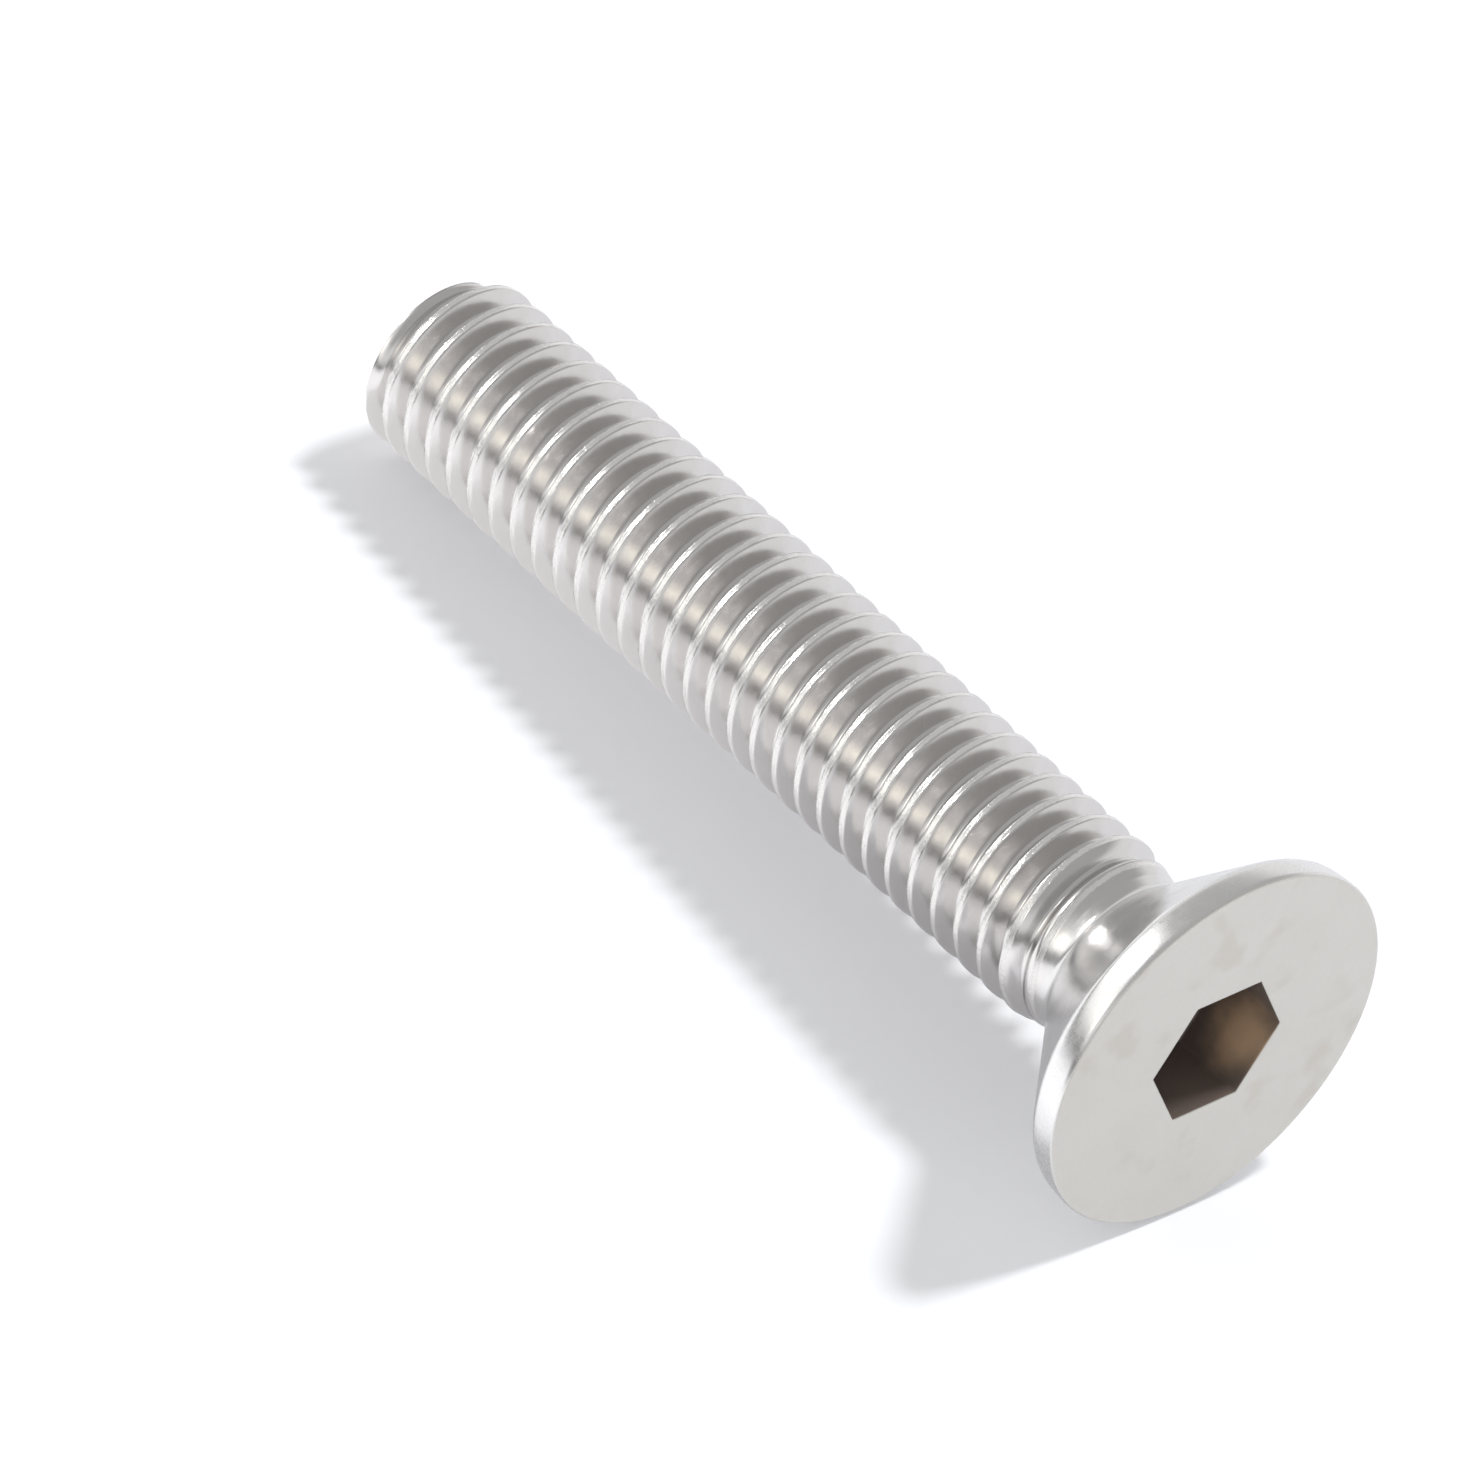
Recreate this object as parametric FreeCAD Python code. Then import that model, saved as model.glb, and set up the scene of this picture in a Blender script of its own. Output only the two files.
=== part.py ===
import FreeCAD, Part
import math
import os

# Countersunk socket screw, M6 x 1, 35 mm long, with a right-hand thread up to a short plain neck.
# Millimetres. It is shaped along its own axis, with the head's flat face at z = 0 and the tail at
# z = length, and is then laid down as it comes to rest: on the head's rim and on the thread's crest
# near the tail, with +X towards the head and +Z up.

# Head, with a flat face, a narrow land round its edge and a countersunk cone
length = 35.0
head_diameter = 11.7
land_width = 0.85
land_break = 0.1
cone_angle = 90.0

# Socket for a 4 mm hexagon key
key_width = 4.0
socket_depth = 2.4
socket_point_angle = 120.0
socket_turn = 28.3

# Thread. The flat on its crest and its pitch are true. Its groove is a plain V, as deep as the neck,
# where the real groove is about twice as deep and rounded at the root.
thread_diameter = 6.0
pitch = 1.0
crest_loss = 0.06
first_crest = 5.97
run_in = 1.5
sectors = 8
helix_parts = 4

# Neck, the swell where the thread runs out, and the chamfered tail
neck_diameter = 5.3
neck_end = 4.6
swell_end = 5.85
tail_chamfer = 0.4
tail_diameter = 5.05
tail_bevel = 0.1

# A cutter's clearance from a surface that it leaves whole, and how far it stands proud of the rest
clearance = 0.01
proud = 0.03

origin = FreeCAD.Vector(0, 0, 0)
axis = FreeCAD.Vector(0, 0, 1)

head_radius = head_diameter / 2
neck_radius = neck_diameter / 2
tail_radius = tail_diameter / 2
crest_radius = thread_diameter / 2 - crest_loss
root_radius = neck_radius + clearance
groove_half_width = 7 / 16 * pitch - crest_loss * math.tan(math.radians(30))
crest_half_width = pitch / 2 - groove_half_width
cone_end = land_width + (head_radius - neck_radius) / math.tan(math.radians(cone_angle / 2))
chamfer_start = length - tail_chamfer


def at(radius, turn, z):
    """A point by its distance from the axis, its angle and its distance from the head's face."""
    return FreeCAD.Vector(radius * math.cos(turn), radius * math.sin(turn), z)


def closed(points):
    """A flat face bounded by straight lines through the points."""
    return Part.Face(Part.makePolygon([*points, points[0]]))


def turned_blank():
    """The headed blank before rolling: face, land, cone, neck, swell up to the thread and tail.

    It is turned sector by sector, so no face of the thread's crest goes further round than one."""
    outline = closed([
        origin,
        at(head_radius - land_break, 0, 0),
        at(head_radius, 0, land_break),
        at(head_radius, 0, land_width),
        at(neck_radius, 0, cone_end),
        at(neck_radius, 0, neck_end),
        at(crest_radius, 0, swell_end),
        at(crest_radius, 0, chamfer_start),
        at(tail_radius, 0, length - tail_bevel),
        at(tail_radius - 2 * tail_bevel, 0, length),
        at(0, 0, length),
    ])
    sector = outline.revolve(origin, axis, 360 / sectors)
    others = []
    for k in range(1, sectors):
        other = sector.copy()
        other.rotate(origin, axis, 360 / sectors * k)
        others.append(other)
    return sector.multiFuse(others)


def groove():
    """The thread's groove: a V carried along the helix from over the neck to past the tail.

    The groove opens where the blank swells past its root, which is how the thread runs out."""
    start = first_crest - run_in * pitch
    turns = math.ceil((length - start) / pitch) + 1
    top_radius = crest_radius + proud
    top_half_width = groove_half_width * (top_radius - root_radius) / (crest_radius - root_radius)
    section = Part.makePolygon([
        at(root_radius, 0, 0),
        at(top_radius, 0, top_half_width),
        at(top_radius, 0, -top_half_width),
        at(root_radius, 0, 0),
    ])
    first_part = Part.makeHelix(pitch, pitch / helix_parts, crest_radius).Edges[0]
    helix = []
    for k in range(helix_parts * turns):
        part = first_part.copy()
        part.rotate(origin, axis, 360 / helix_parts * k)
        part.translate(axis * pitch / helix_parts * k)
        helix.append(part)
    cutter = Part.Wire(helix).makePipeShell([section], True, True)
    cutter.translate(axis * start)
    return cutter


def hexagon_socket():
    """The socket: a hexagon down to its depth, ending in the cone that the punch leaves."""
    corner_radius = key_width / math.sqrt(3)
    corners = [at(corner_radius, math.radians(socket_turn + 60 * k), 0) for k in range(6)]
    socket = closed(corners).extrude(axis * socket_depth)
    point_depth = key_width / 2 / math.tan(math.radians(socket_point_angle / 2))
    point = Part.makeCone(key_width / 2, 0, point_depth, axis * socket_depth, axis)
    return socket.fuse(point)


def laid_down(screw):
    """The screw lying on its land and on the last crest under it, centred over the origin."""
    crest_under = first_crest + pitch / 2
    crests_on = math.floor((chamfer_start - crest_under + crest_half_width) / pitch)
    lowest = min(crest_under + pitch * crests_on + crest_half_width, chamfer_start)
    tilt = math.atan2(head_radius - crest_radius, lowest - land_width)
    screw.rotate(origin, FreeCAD.Vector(0, 1, 0), -90 - math.degrees(tilt))
    box = screw.optimalBoundingBox()
    screw.translate(FreeCAD.Vector(-box.Center.x, -box.Center.y, -box.ZMin))
    return screw


rolled = turned_blank().cut(groove())
screw = laid_down(rolled.cut(hexagon_socket()).Solids[0])

os.makedirs("parts", exist_ok=True)
screw.exportStep("parts/screw.step")
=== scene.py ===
import math

import bpy
import numpy as np
from mathutils import Matrix, Vector


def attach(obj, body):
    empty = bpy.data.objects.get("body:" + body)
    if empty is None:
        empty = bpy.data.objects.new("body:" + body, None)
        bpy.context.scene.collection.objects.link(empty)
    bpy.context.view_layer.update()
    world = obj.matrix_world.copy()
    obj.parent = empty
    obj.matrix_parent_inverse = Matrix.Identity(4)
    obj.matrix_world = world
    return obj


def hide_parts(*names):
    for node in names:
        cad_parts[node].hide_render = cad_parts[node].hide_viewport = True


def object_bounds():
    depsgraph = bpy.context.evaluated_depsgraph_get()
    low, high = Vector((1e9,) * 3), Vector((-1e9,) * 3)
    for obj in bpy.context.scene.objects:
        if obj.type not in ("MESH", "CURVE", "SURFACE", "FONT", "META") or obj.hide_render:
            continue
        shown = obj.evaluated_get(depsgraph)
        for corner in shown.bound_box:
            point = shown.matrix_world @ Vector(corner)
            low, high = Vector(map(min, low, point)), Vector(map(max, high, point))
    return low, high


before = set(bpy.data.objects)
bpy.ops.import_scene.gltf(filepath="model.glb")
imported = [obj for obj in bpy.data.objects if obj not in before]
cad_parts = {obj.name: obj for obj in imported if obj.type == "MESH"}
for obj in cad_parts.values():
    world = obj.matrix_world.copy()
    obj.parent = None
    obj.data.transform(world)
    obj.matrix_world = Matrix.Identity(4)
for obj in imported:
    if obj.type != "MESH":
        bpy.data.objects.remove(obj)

cad_low, cad_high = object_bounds()

# How the screw lies.
# A countersunk screw on a flat floor rests on the land round its head and on the last crest of its
# thread, so its axis dips towards the tail. Its head is at +X. Sizes are in millimetres.
mm = 0.001
length = 35.0
head_radius = 5.85
land_width = 0.85
land_break = 0.1
pitch = 1.0
thread_radius = 3.0
crest_loss = 0.06
first_crest = 5.97
chamfer_start = 34.6

tan_flank = math.tan(math.radians(30))
crest_radius = thread_radius - crest_loss
crest_half_width = pitch / 16 + crest_loss * tan_flank
crest_under = first_crest + pitch / 2
crest_under += pitch * math.floor((chamfer_start - crest_under + crest_half_width) / pitch)
lowest = min(crest_under + crest_half_width, chamfer_start)
dip = math.atan2(head_radius - crest_radius, lowest - land_width)

tailwards = np.array([-math.cos(dip), 0.0, -math.sin(dip)])
upwards = np.array([-math.sin(dip), 0.0, math.cos(dip)])
sideways = np.array([0.0, 1.0, 0.0])
face_centre = np.array([
    cad_high[0] / mm - (head_radius - land_break) * math.sin(dip),
    (cad_low[1] + cad_high[1]) / 2 / mm,
    head_radius * math.cos(dip) + land_width * math.sin(dip),
])


def place(distance, radius, turn):
    """Points given by their distance from the head's face, radius and turn, put into the frame.

    A point is the face's centre, plus the distance along the axis towards the tail, plus the radius
    along the direction cos(turn) up and sin(turn) sideways. The turn is 0 on the upper side."""
    out = np.cos(turn)[..., None] * upwards + np.sin(turn)[..., None] * sideways
    return face_centre + distance[..., None] * tailwards + radius[..., None] * out


def band(rows, columns, shift=0):
    """The four-cornered faces of a grid of points that closes on itself round the screw, and their rows.

    Each face joins a point to the next one round, then along. The last column joins the first,
    which is shift rows further along on a helix."""
    row, column = np.mgrid[0:rows - 1, 0:columns]
    last = column == columns - 1
    next_row = row + shift * last
    next_column = np.where(last, 0, column + 1)
    keep = next_row + 1 < rows
    corners = [row * columns + column, next_row * columns + next_column,
               (next_row + 1) * columns + next_column, (row + 1) * columns + column]
    return np.stack(corners, axis=-1)[keep], row[keep]


# The socket and the head.
# The wire's end is upset into a flat countersunk head, and a punch drives the hexagon socket into
# it, which leaves a cone below the six flats. The land round the rim is all that is left upright.
key_width = 4.0
socket_depth = 2.4
socket_point = math.radians(120)
socket_turn = math.radians(28.3)
mouth_round = 0.06
rim_round = 0.16
rim_rows_on_face = 5
neck_radius = 2.65
cone_end = land_width + head_radius - neck_radius
cone_slope = math.radians(45)
neck_fillet = 0.45
head_end = 4.4
steps_round = 144

turn = socket_turn + 2 * math.pi * np.arange(steps_round) / steps_round


def hexagon(apothem, turns):
    """The radius of a hexagon at each turn: its apothem over the cosine of the turn from a flat's middle."""
    return apothem / np.cos((turns - socket_turn) % (math.pi / 3) - math.pi / 6)


def arc(centre, radius, start, stop, steps):
    """Points (distance, radius from the axis) evenly along an arc round a centre, angles in degrees.

    The angle is measured from the tail's direction, and grows outwards from the axis."""
    angle = np.radians(np.linspace(start, stop, steps))
    return np.stack([centre[0] + radius * np.cos(angle), centre[1] + radius * np.sin(angle)], axis=1)


# A row is a distance from the face, a radius, and how far its outline is a hexagon and not a circle.
apothem = key_width / 2
tip = socket_depth + apothem / math.tan(socket_point / 2)
point_shares = (0.0, 0.08, 0.3, 0.6, 0.9, 0.97, 1.0)
point_rows = [(tip - (tip - socket_depth) * share, apothem * share, 0.0) for share in point_shares]
wall_depths = (socket_depth, socket_depth - 0.03, 1.8, 1.2, 0.6, 2 * mouth_round, mouth_round)
wall_rows = [(depth, apothem, 1.0) for depth in wall_depths]
mouth = arc((mouth_round, apothem + mouth_round), mouth_round, 240, 180, 3)
mouth_rows = [(distance, radius, 1.0) for distance, radius in mouth]

face_from = apothem + mouth_round
face_to = head_radius - rim_round
face_shares = (0.02, 0.1, 0.3, 0.5, 0.7, 0.85, 0.95, 0.985)
face_rows = [(0.0, face_from + share * (face_to - face_from), 1 - share) for share in face_shares]
rim = arc((rim_round, face_to), rim_round, 180, 90, 10)
rim_rows = [(distance, radius, 0.0) for distance, radius in rim]

# The land is worn away towards the cone, and meets it in a dull corner.
worn_distances = (0.22, 0.3, 0.4, 0.5, 0.6, 0.7, 0.8)
worn_losses = (0.002, 0.0065, 0.014, 0.023, 0.034, 0.047, 0.064)
land_rows = [(distance, head_radius - loss, 0.0) for distance, loss in zip(worn_distances, worn_losses)]
corner_rows = [(0.86, 5.768, 0.0), (0.92, 5.741, 0.0), (0.97, 5.710, 0.0), (1.01, 5.679, 0.0)]

fillet_centre = (cone_end + neck_fillet * math.tan(cone_slope / 2), neck_radius + neck_fillet)
fillet = arc(fillet_centre, neck_fillet, 225, 270, 7)
cone_distances = land_width + np.linspace(0.09, 0.97, 9) * (fillet[0][0] - land_width)
cone_rows = [(distance, head_radius - (distance - land_width), 0.0) for distance in cone_distances]
neck_rows = [(distance, radius, 0.0) for distance, radius in fillet if distance < head_end]
neck_rows.append((head_end, neck_radius, 0.0))

# The parts in the order of their finishes: socket, face, land, and the cone with the neck.
head_parts = [
    point_rows + wall_rows,
    mouth_rows + face_rows + rim_rows[:rim_rows_on_face],
    rim_rows[rim_rows_on_face:] + land_rows,
    corner_rows + cone_rows + neck_rows,
]
cone_finish = 3
thread_finish = 4
head_rows = np.array([row for part in head_parts for row in part])
part_ends = np.cumsum([len(part) for part in head_parts])

flat_share = head_rows[:, 2:3]
head_distance = np.repeat(head_rows[:, 0:1], steps_round, axis=1)
head_reach = head_rows[:, 1:2] * ((1 - flat_share) + flat_share * hexagon(1.0, turn))
head_turn = np.repeat(turn[None, :], len(head_rows), axis=0)
head_points = place(head_distance, head_reach, head_turn)
head_faces, head_row = band(len(head_rows), steps_round)
head_finish = np.searchsorted(part_ends, head_row, side="right")


# The thread, the neck's swell and the tail.
# The thread is rolled: dies press the groove in and the metal rises into crests that don't quite
# close, so each crest is a ragged line. It runs out into the swell, and the tail has a chamfer.
root_radius = thread_radius - 17 / 24 * pitch * math.sqrt(3) / 2
root_round = 0.144
swell_start = 4.6
swell_end = 5.85
fade_start = 4.7
fade_end = 6.1
tail_reach = 2.32
envelope_distances = [swell_start, swell_end, chamfer_start, 34.9, 34.96, length]
envelope_radii = [neck_radius, crest_radius, crest_radius, 2.525, 2.40, tail_reach]

# The torn crest: pits, a crown that falls towards its edges, teeth that stand over its edge on the
# tail's side, and a slight wandering of the rest. It ends at torn_to from the crest's middle.
raggedness = 0.016
crest_crown = 0.012
burr = 0.09
burr_from = 0.06
waver = 0.008
torn_to = 0.1
torn_fade = 0.05
torn_depth = 0.08
pale_to = 1.6

# Where the rows lie over half a pitch, from the crest's middle to the root: closest at the bends.
half_section = np.array([0.0, 0.05, 0.085, 0.105, 0.125, 0.35, 0.372, 0.4, 0.44, 0.5])
section = np.concatenate([half_section[:-1], pitch - half_section[:0:-1]])


def envelope(distance):
    """The radius the thread rises to: neck, straight swell, full crest, straight chamfer, round end."""
    return np.interp(distance, envelope_distances, envelope_radii)


def groove(away):
    """The groove's radius at a distance along the axis from the crest's middle.

    It falls at 60 degrees to the axis from the edge of the crest's flat, and is round at the root:
    there it is the root's radius plus R - sqrt(R^2 - x^2), x being the distance from the root."""
    flank = crest_radius - np.maximum(away - crest_half_width, 0) / tan_flank
    from_root = np.minimum(pitch / 2 - away, root_round)
    bottom = root_radius + root_round - np.sqrt(root_round ** 2 - from_root ** 2)
    return np.where(pitch / 2 - away < root_round * math.sin(math.radians(60)), bottom, flank)


def smoothed(noise):
    """Random numbers round the thread, each half itself and a quarter each of its two neighbours."""
    return 0.5 * noise + 0.25 * (np.roll(noise, 1, axis=1) + np.roll(noise, -1, axis=1))


# A row's phase counts pitches from the first crest, and the row climbs by one pitch in each turn.
first_turn = math.floor((head_end - first_crest) / pitch) - 2
last_turn = math.ceil((length - first_crest) / pitch) + 1
turns_along = np.arange(first_turn, last_turn)
phase = (turns_along[:, None] + section[None, :] / pitch).ravel()
past_crest = (phase - np.round(phase)) * pitch
crest_gap = np.abs(phase - np.round(phase)) * pitch
thread_turn = np.repeat(turn[None, :], len(phase), axis=0)
along = first_crest + pitch * (phase[:, None] + thread_turn / (2 * math.pi))

rng = np.random.default_rng(6)
grain = smoothed(rng.random(along.shape))
slip = smoothed(rng.standard_normal(along.shape))
torn_share = np.clip((torn_to - crest_gap) / torn_fade, 0, 1)[:, None] * np.ones(steps_round)
pale_share = np.clip(pale_to - crest_gap / crest_half_width, 0, 1)[:, None] * np.ones(steps_round)

lift = np.interp(along, [fade_start, fade_end], [neck_radius - root_radius, 0.0])
rolled = groove(crest_gap)[:, None] + lift
crest = envelope(along)
crown = crest_crown * (np.minimum(crest_gap, crest_half_width) / crest_half_width)[:, None] ** 2
pits = (crown + raggedness * grain) * torn_share * (rolled > crest - torn_depth)
thread_reach = np.where(along > swell_start, np.minimum(rolled, crest) - pits, neck_radius)

teeth = np.where((past_crest > burr_from)[:, None], burr * np.clip(slip, 0, 1), waver * slip)
full_thread = np.interp(along, [swell_end, swell_end + 1, chamfer_start, length], [0, 1, 1, 0])
thread_distance = np.clip(along + teeth * torn_share * full_thread, head_end, length)
thread_points = place(thread_distance, thread_reach, thread_turn)
thread_faces, _ = band(len(phase), steps_round, shift=len(section))

end_radii = tail_reach * np.array([1.0, 0.96, 0.8, 0.5, 0.2, 0.0])
end_reach = np.repeat(end_radii[:, None], steps_round, axis=1)
end_turn = np.repeat(turn[None, :], len(end_radii), axis=0)
end_points = place(np.full(end_reach.shape, length), end_reach, end_turn)
end_faces, _ = band(len(end_radii), steps_round)

# One mesh of all three. Points that fall together, such as those at the socket's tip and at the
# tail's middle, are joined, which turns some faces into triangles and others into nothing.
grids = (head_points, thread_points, end_points)
head_count, thread_count, end_count = [grid[..., 0].size for grid in grids]
points = np.concatenate([grid.reshape(-1, 3) for grid in grids]) * mm
faces = np.concatenate([head_faces, thread_faces + head_count, end_faces + head_count + thread_count])
finish = np.concatenate([
    head_finish,
    np.full(len(thread_faces), thread_finish),
    np.full(len(end_faces), cone_finish),
])
crest_share = np.concatenate([
    np.zeros(head_count),
    (pale_share * (along > swell_start)).ravel(),
    np.zeros(end_count),
])

joined, which = np.unique(np.round(points / mm, 5), axis=0, return_inverse=True)
faces = which.ravel()[faces]
crest_of = np.zeros(len(joined))
crest_of[which.ravel()] = crest_share
doubled = np.roll(faces, -1, axis=1) == faces
four = doubled.sum(axis=1) == 0
three = doubled.sum(axis=1) == 1
triangles = faces[three][~doubled[three]].reshape(-1, 3)
corners = faces[four].tolist() + triangles.tolist()
finish = np.concatenate([finish[four], finish[three]])

screw_mesh = bpy.data.meshes.new("countersunk_socket_screw")
screw_mesh.from_pydata(joined * mm, [], corners)
screw_mesh.polygons.foreach_set("material_index", finish.astype(np.int32))
screw_mesh.polygons.foreach_set("use_smooth", np.ones(len(corners), dtype=bool))
crest_layer = screw_mesh.attributes.new("crest", "FLOAT", "POINT")
crest_layer.data.foreach_set("value", crest_of)
screw_mesh.validate()
screw = bpy.data.objects.new("countersunk_socket_screw", screw_mesh)
bpy.context.scene.collection.objects.link(screw)


# Stainless steel, as each tool left it.
# The screw is bare metal all over, and its finishes differ by the tool: punch, pickling bath,
# trimming die, header and thread rolls. They follow in the order of the finish numbers above.
def linear(colour):
    """Turns an sRGB hex colour into linear red, green, blue and alpha."""
    parts = [int(colour[start:start + 2], 16) / 255 for start in (1, 3, 5)]
    return [part / 12.92 if part <= 0.04045 else ((part + 0.055) / 1.055) ** 2.4 for part in parts] + [1.0]


def add(tree, kind, sockets=None, **settings):
    """Adds a node. Settings are its properties or, where it has none of that name, its inputs.

    Sockets are inputs by name or number, each linked to another node's output or set to a value."""
    node = tree.nodes.new(kind)
    for name, value in settings.items():
        if hasattr(node, name):
            setattr(node, name, value)
        else:
            node.inputs[name.replace("_", " ")].default_value = value
    for name, source in (sockets or {}).items():
        if isinstance(source, bpy.types.NodeSocket):
            tree.links.new(source, node.inputs[name])
        else:
            node.inputs[name].default_value = source
    return node


def steel(name, colour, dull_colour, roughness, rough_range, grain_mm, depth_mm):
    """A bare stainless finish on the screw, as its node tree, its shader and its bump.

    Its colour varies in patches of 2.5 mm, its roughness and its height with one finer grain."""
    material = bpy.data.materials.new(name)
    material.use_nodes = True
    tree = material.node_tree
    shader = tree.nodes["Principled BSDF"]
    shader.inputs["Metallic"].default_value = 1.0
    where = add(tree, "ShaderNodeTexCoord")
    laid = add(tree, "ShaderNodeMapping", {"Vector": where.outputs["Object"]}, vector_type="POINT",
               Rotation=(0, -dip, 0))
    patches = add(tree, "ShaderNodeTexNoise", {"Vector": laid.outputs["Vector"]},
                  Scale=1 / (2.5 * mm), Detail=4.0, Roughness=0.6)
    fine = add(tree, "ShaderNodeTexNoise", {"Vector": laid.outputs["Vector"]},
               Scale=1 / (grain_mm * mm), Detail=3.0, Roughness=0.65)
    tint = add(tree, "ShaderNodeMix", {"Factor": patches.outputs["Fac"]}, data_type="RGBA",
               A=linear(colour), B=linear(dull_colour))
    tree.links.new(tint.outputs["Result"], shader.inputs["Base Color"])
    rough = add(tree, "ShaderNodeMapRange", {"Value": fine.outputs["Fac"]}, From_Min=0.3, From_Max=0.7,
                To_Min=roughness - rough_range, To_Max=roughness + rough_range)
    tree.links.new(rough.outputs["Result"], shader.inputs["Roughness"])
    bump = add(tree, "ShaderNodeBump", {"Height": fine.outputs["Fac"]}, Strength=1.0, Distance=depth_mm * mm)
    tree.links.new(bump.outputs["Normal"], shader.inputs["Normal"])
    screw_mesh.materials.append(material)
    return tree, shader, bump


# Punched stainless steel in the socket: dull, with colours darker than the bare steel that are partly painted
# shade in the recess. On the wall that the light falls on lies a golden layer of the punch's lubricant, which
# is partly painted light. It scatters light more than it mirrors it.
# A pale golden patch round this centre on the lit wall: partly the punch's lubricant, partly painted light.
film_centre = np.array([16.53, 1.88, 5.10]) * mm
film_smear = 0.9 * mm
# Its dark brownish colours are partly painted shade in the recess.
tree, shader, _ = steel("punched_socket_steel_painted_shade", "#867970", "#695d58", 0.5, 0.08, 0.25, 0.004)
shader.inputs["Metallic"].default_value = 0.25
bare = shader.inputs["Base Color"].links[0].from_socket
where = add(tree, "ShaderNodeTexCoord")
from_film = add(tree, "ShaderNodeVectorMath", {0: where.outputs["Object"], 1: film_centre},
                operation="DISTANCE")
smear = add(tree, "ShaderNodeTexNoise", {"Vector": where.outputs["Object"]}, Scale=1 / film_smear, Detail=3.0)
smeared = add(tree, "ShaderNodeMath",
              {0: smear.outputs["Fac"], 1: film_smear, 2: from_film.outputs["Value"]},
              operation="MULTIPLY_ADD")
# The patch's share, lubricant and painted light, fading from 0.6 mm to 2 mm from its centre.
film = add(tree, "ShaderNodeMapRange", {"Value": smeared.outputs["Value"]}, interpolation_type="SMOOTHSTEP",
           From_Min=0.6 * mm, From_Max=2.0 * mm, To_Min=1.0, To_Max=0.0)
filmed = add(tree, "ShaderNodeMix", {"Factor": film.outputs["Result"], "A": bare}, data_type="RGBA",
             B=linear("#e2c09c"))
tree.links.new(filmed.outputs["Result"], shader.inputs["Base Color"])

# Pickled stainless steel on the head's face: the acid leaves it matt and pale, so it mirrors nothing
# sharply, with faint brownish blotches of 1.7 mm.
tree, shader, _ = steel("pickled_face_steel", "#dad8d3", "#d1cfc9", 0.40, 0.05, 0.12, 0.002)
bare = shader.inputs["Base Color"].links[0].from_socket
where = add(tree, "ShaderNodeTexCoord")
stains = add(tree, "ShaderNodeTexNoise", {"Vector": where.outputs["Object"]}, Scale=1 / (1.7 * mm),
             Detail=2.0, Roughness=0.5)
stained = add(tree, "ShaderNodeMapRange", {"Value": stains.outputs["Fac"]}, interpolation_type="SMOOTHSTEP",
              From_Min=0.55, From_Max=0.72, To_Max=0.35)
blotched = add(tree, "ShaderNodeMix", {"Factor": stained.outputs["Result"], "A": bare}, data_type="RGBA",
               B=linear("#c4b9ad"))
tree.links.new(blotched.outputs["Result"], shader.inputs["Base Color"])

# Trimmed stainless steel on the land: sheared by the die, so it is satin, and bright where the light
# grazes it.
steel("trimmed_land_steel", "#e6e5e4", "#dcdbda", 0.27, 0.04, 0.3, 0.0015)

# Upset stainless steel on the cone, the neck and the tail: pressed in the header's die, so it is
# satin, with soft shallow marks of half a millimetre.
steel("upset_cone_steel", "#dddcdb", "#cdcccb", 0.20, 0.05, 0.5, 0.004)

# Rolled stainless steel on the thread: burnished flanks under torn crests. The torn metal throws
# light every way, so the crest is a ragged pale line, less mirror-like and pitted 0.01 mm deep.
tear_size = 0.16 * mm
tree, shader, bump = steel("rolled_thread_steel", "#dbd9d8", "#d0cdcb", 0.22, 0.04, 0.4, 0.0012)
bare = shader.inputs["Base Color"].links[0].from_socket
burnish = shader.inputs["Roughness"].links[0].from_socket
crest_value = add(tree, "ShaderNodeAttribute", attribute_name="crest")
where = add(tree, "ShaderNodeTexCoord")
torn = add(tree, "ShaderNodeTexNoise", {"Vector": where.outputs["Object"]}, Scale=1 / tear_size,
           Detail=4.0, Roughness=0.75)
ragged = add(tree, "ShaderNodeMath", {0: torn.outputs["Fac"], 1: crest_value.outputs["Fac"]}, operation="ADD")
line = add(tree, "ShaderNodeMapRange", {"Value": ragged.outputs["Value"]}, interpolation_type="SMOOTHSTEP",
           From_Min=1.15, From_Max=1.45)
whitened = add(tree, "ShaderNodeMix", {"Factor": line.outputs["Result"], "A": bare}, data_type="RGBA",
               B=linear("#dfdddb"))
tree.links.new(whitened.outputs["Result"], shader.inputs["Base Color"])
roughened = add(tree, "ShaderNodeMix", {"Factor": line.outputs["Result"], "A": burnish}, data_type="FLOAT",
                B=0.22)
tree.links.new(roughened.outputs["Result"], shader.inputs["Roughness"])
mirror = add(tree, "ShaderNodeMapRange", {"Value": line.outputs["Result"]}, To_Min=1.0, To_Max=0.72)
tree.links.new(mirror.outputs["Result"], shader.inputs["Metallic"])
torn_height = add(tree, "ShaderNodeMath", {0: torn.outputs["Fac"], 1: line.outputs["Result"]},
                  operation="MULTIPLY")
torn_bump = add(tree, "ShaderNodeBump",
                {"Height": torn_height.outputs["Value"], "Normal": bump.outputs["Normal"]},
                Strength=1.0, Distance=0.01 * mm)
tree.links.new(torn_bump.outputs["Normal"], shader.inputs["Normal"])

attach(screw, "root")
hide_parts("screw")


# The floor: matt white card.
# It glows a little, so that it stays white round the screw's shadow. In the metal alone it shows painted
# reflections: it glows brighter on the screw's left, and is dark grey past a line on that side, though the
# card has no edge there.
floor_size = 3.0
seen_glow = 0.15
# The glow that only the metal sees, a painted reflection: plain, and brighter on the screw's left.
plain_bounce = 0.06
left_bounce = 0.52
leftwards = (-0.5, -0.87, 0.0)
bounce_start = -3 * mm
bounce_full = 5 * mm
# Past these distances on the screw's left, only the metal sees the card dark grey: a painted dark reflection.
card_edge = -22 * mm
card_gone = -36 * mm

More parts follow.
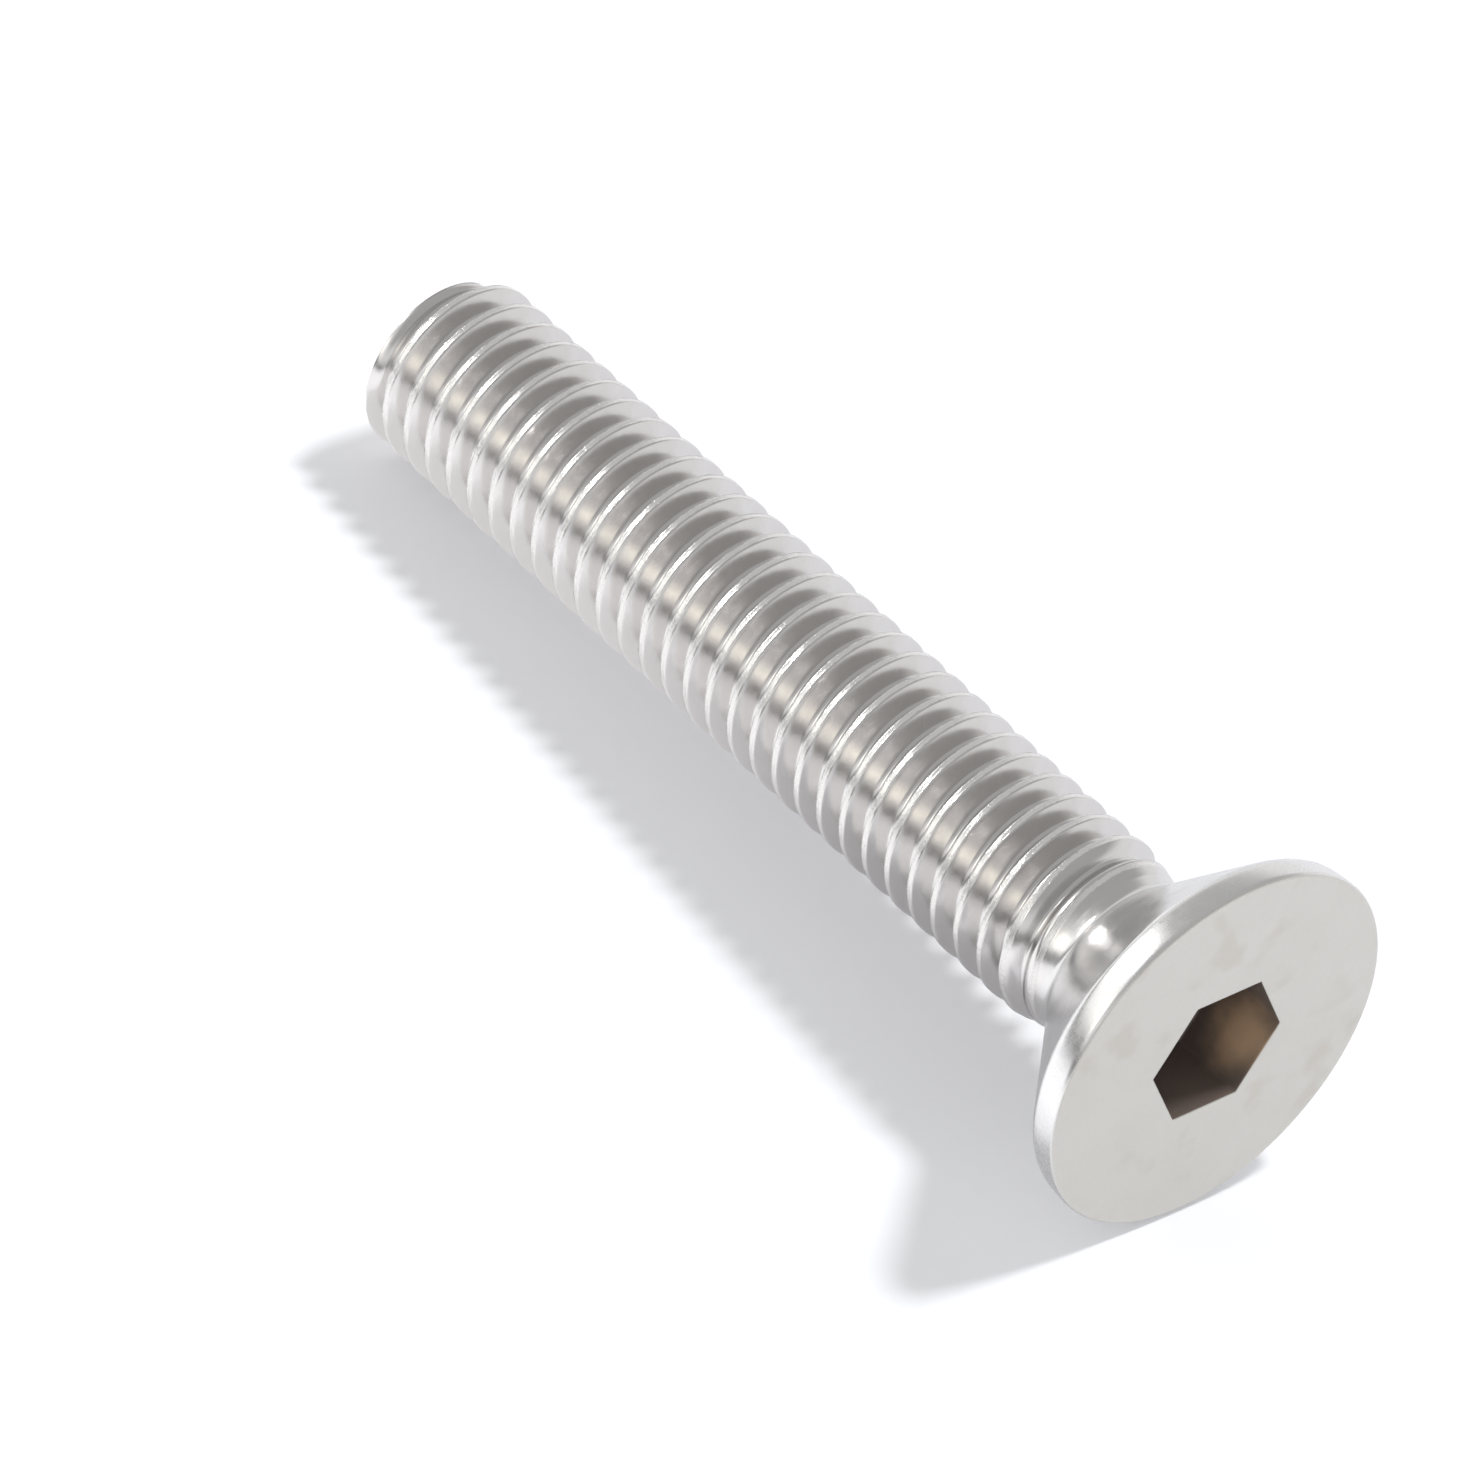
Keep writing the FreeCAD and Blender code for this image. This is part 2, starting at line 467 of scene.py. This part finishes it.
floor_points = [(-floor_size, -floor_size, 0), (floor_size, -floor_size, 0),
                (floor_size, floor_size, 0), (-floor_size, floor_size, 0)]
floor_mesh = bpy.data.meshes.new("floor")
floor_mesh.from_pydata(floor_points, [], [(0, 1, 2, 3)])
floor = bpy.data.objects.new("floor", floor_mesh)
bpy.context.scene.collection.objects.link(floor)

card = bpy.data.materials.new("white_card")
card.use_nodes = True
tree = card.node_tree
shader = tree.nodes["Principled BSDF"]
shader.inputs["Roughness"].default_value = 0.9
shader.inputs["Specular IOR Level"].default_value = 0.0
shader.inputs["Emission Color"].default_value = linear("#ffffff")
seen_by = add(tree, "ShaderNodeLightPath")
in_metal = seen_by.outputs["Is Glossy Ray"]
where = add(tree, "ShaderNodeTexCoord")
parts = add(tree, "ShaderNodeSeparateXYZ", {"Vector": where.outputs["Object"]})
# Painted dark reflection: the card turns dark grey past a line on the left, for glossy rays only.
edge = add(tree, "ShaderNodeMapRange", {"Value": parts.outputs["Y"]}, interpolation_type="SMOOTHSTEP",
           From_Min=card_edge, From_Max=card_gone)
beyond = add(tree, "ShaderNodeMath", {0: edge.outputs["Result"], 1: in_metal}, operation="MULTIPLY")
shade = add(tree, "ShaderNodeMix", {"Factor": beyond.outputs["Value"]}, data_type="RGBA",
            A=linear("#f0f1f5"), B=linear("#777777"))
tree.links.new(shade.outputs["Result"], shader.inputs["Base Color"])
left = add(tree, "ShaderNodeVectorMath", {0: where.outputs["Object"], 1: leftwards}, operation="DOT_PRODUCT")
# Painted reflection: the glow that the metal sees rises towards the screw's left.
bounce = add(tree, "ShaderNodeMapRange", {"Value": left.outputs["Value"]}, interpolation_type="SMOOTHSTEP",
             From_Min=bounce_start, From_Max=bounce_full, To_Min=plain_bounce, To_Max=left_bounce)
on_card = add(tree, "ShaderNodeMath", {0: in_metal, 1: beyond.outputs["Value"]}, operation="SUBTRACT")
metal_glow = add(tree, "ShaderNodeMath", {0: on_card.outputs["Value"], 1: bounce.outputs["Result"]},
                 operation="MULTIPLY")
whiteness = add(tree, "ShaderNodeMath",
                {0: seen_by.outputs["Is Camera Ray"], 1: seen_glow, 2: metal_glow.outputs["Value"]},
                operation="MULTIPLY_ADD")
tree.links.new(whiteness.outputs["Value"], shader.inputs["Emission Strength"])
floor_mesh.materials.append(card)


# The light: a studio with pale walls all round and a dimmer ceiling.
# On the left it has a dark skirting at the horizon and a soft warm panel. A small softbox gives the
# glints, and a small lamp overhead, which the metal doesn't show, casts the shadow.
wall_level = 0.98
ceiling_level = 0.50
wall_top = math.radians(14)
ceiling_edge = math.radians(32)
skirting_level = 0.4
skirting_top = math.radians(1)
skirting_edge = math.radians(5)
skirting_end = -0.6
skirting_gone = -0.2
panel_towards = np.array([-0.461, -0.841, 0.285])
panel_level = 1.3
panel_core, panel_edge = math.cos(math.radians(3)), math.cos(math.radians(12))
halo_level = 0.35
halo_core, halo_edge = math.cos(math.radians(8)), math.cos(math.radians(38))

world = bpy.data.worlds.new("studio")
bpy.context.scene.world = world
world.use_nodes = True
tree = world.node_tree
background = tree.nodes["Background"]
where = add(tree, "ShaderNodeTexCoord")
direction = where.outputs["Generated"]
parts = add(tree, "ShaderNodeSeparateXYZ", {"Vector": direction})
walls = add(tree, "ShaderNodeMapRange", {"Value": parts.outputs["Z"]}, interpolation_type="SMOOTHSTEP",
            From_Min=math.sin(wall_top), From_Max=math.sin(ceiling_edge),
            To_Min=wall_level, To_Max=ceiling_level)
skirting = add(tree, "ShaderNodeMapRange", {"Value": parts.outputs["Z"]}, interpolation_type="SMOOTHSTEP",
               From_Min=math.sin(skirting_top), From_Max=math.sin(skirting_edge), To_Min=skirting_level)
other_sides = add(tree, "ShaderNodeMapRange", {"Value": parts.outputs["Y"]}, interpolation_type="SMOOTHSTEP",
                  From_Min=skirting_end, From_Max=skirting_gone)
to_panel = panel_towards / np.linalg.norm(panel_towards)
near_panel = add(tree, "ShaderNodeVectorMath", {0: direction, 1: to_panel}, operation="DOT_PRODUCT")
panel = add(tree, "ShaderNodeMapRange", {"Value": near_panel.outputs["Value"]},
            interpolation_type="SMOOTHSTEP", From_Min=panel_edge, From_Max=panel_core)
halo = add(tree, "ShaderNodeMapRange", {"Value": near_panel.outputs["Value"]},
           interpolation_type="SMOOTHSTEP", From_Min=halo_edge, From_Max=halo_core, To_Max=halo_level)
lit_walls = add(tree, "ShaderNodeMath", {0: walls.outputs["Result"], 1: halo.outputs["Result"]},
                operation="ADD")
skirted = add(tree, "ShaderNodeMath", {0: skirting.outputs["Result"], 1: other_sides.outputs["Result"]},
              operation="MAXIMUM")
above_skirting = add(tree, "ShaderNodeMath", {0: lit_walls.outputs["Value"], 1: skirted.outputs["Value"]},
                     operation="MULTIPLY")
room = add(tree, "ShaderNodeMath",
           {0: panel.outputs["Result"], 1: panel_level, 2: above_skirting.outputs["Value"]},
           operation="MULTIPLY_ADD")
warmth = add(tree, "ShaderNodeMix", {"Factor": panel.outputs["Result"]}, data_type="RGBA",
             A=linear("#ffffff"), B=linear("#fffdf2"))
tree.links.new(warmth.outputs["Result"], background.inputs["Color"])
seen_by = add(tree, "ShaderNodeLightPath")
seen = add(tree, "ShaderNodeMix", {"Factor": seen_by.outputs["Is Camera Ray"], "A": room.outputs["Value"]},
           data_type="FLOAT", B=1.0)
tree.links.new(seen.outputs["Result"], background.inputs["Strength"])

softbox_distance = 0.5
softbox_size = np.array([0.12, 0.13])
softbox_radiance = 18.0
softbox_towards = np.array([-0.767, -0.386, 0.513])
softbox_across = np.array([-0.057, 0.749, 0.660])

softbox_light = bpy.data.lights.new("softbox", "AREA")
softbox_light.shape = "ELLIPSE"
softbox_light.size, softbox_light.size_y = softbox_size
softbox_light.energy = softbox_radiance * math.pi ** 2 * softbox_size[0] / 2 * softbox_size[1] / 2
softbox = bpy.data.objects.new("softbox", softbox_light)
bpy.context.scene.collection.objects.link(softbox)
softbox.visible_diffuse = False
back = softbox_towards / np.linalg.norm(softbox_towards)
across = softbox_across - softbox_across @ back * back
across /= np.linalg.norm(across)
frame_of_box = np.eye(4)
frame_of_box[:3, :3] = np.stack([across, np.cross(back, across), back], axis=1)
frame_of_box[:3, 3] = back * softbox_distance
softbox.matrix_world = Matrix(frame_of_box.tolist())

lamp_distance = 0.6
lamp_size = 0.09
lamp_power = 1.8
lamp_towards = np.array([0.05, 0.42, 0.91])
lamp_towards /= np.linalg.norm(lamp_towards)

lamp_light = bpy.data.lights.new("shadow_lamp", "AREA")
lamp_light.shape = "DISK"
lamp_light.size = lamp_size
lamp_light.energy = lamp_power
lamp = bpy.data.objects.new("shadow_lamp", lamp_light)
bpy.context.scene.collection.objects.link(lamp)
lamp.visible_glossy = False
lamp.location = lamp_towards * lamp_distance
lamp.rotation_mode = "QUATERNION"
lamp.rotation_quaternion = Vector(lamp_towards).to_track_quat("Z", "Y")


# The camera: a long lens, looking down on the head's side of the screw, and rolled.
view_azimuth = math.radians(-40.489)
view_elevation = math.radians(41.082)
view_roll = math.radians(16.711)
view_distance = 278.70 * mm
view_aim = np.array([-0.212, -2.666, 3.692]) * mm

camera_data = bpy.data.cameras.new("camera")
camera_data.sensor_width = 36.0
camera_data.lens = 243.36
camera_data.clip_start = 0.01
camera = bpy.data.objects.new("camera", camera_data)
bpy.context.scene.collection.objects.link(camera)
bpy.context.scene.camera = camera
swing = Matrix.Rotation(-view_azimuth, 4, "Z") @ Matrix.Rotation(math.pi / 2 - view_elevation, 4, "X")
away = Matrix.Rotation(view_roll, 4, "Z") @ Matrix.Translation((0, 0, view_distance))
camera.matrix_world = Matrix.Translation(view_aim) @ swing @ away
bpy.context.scene.view_settings.view_transform = "Standard"
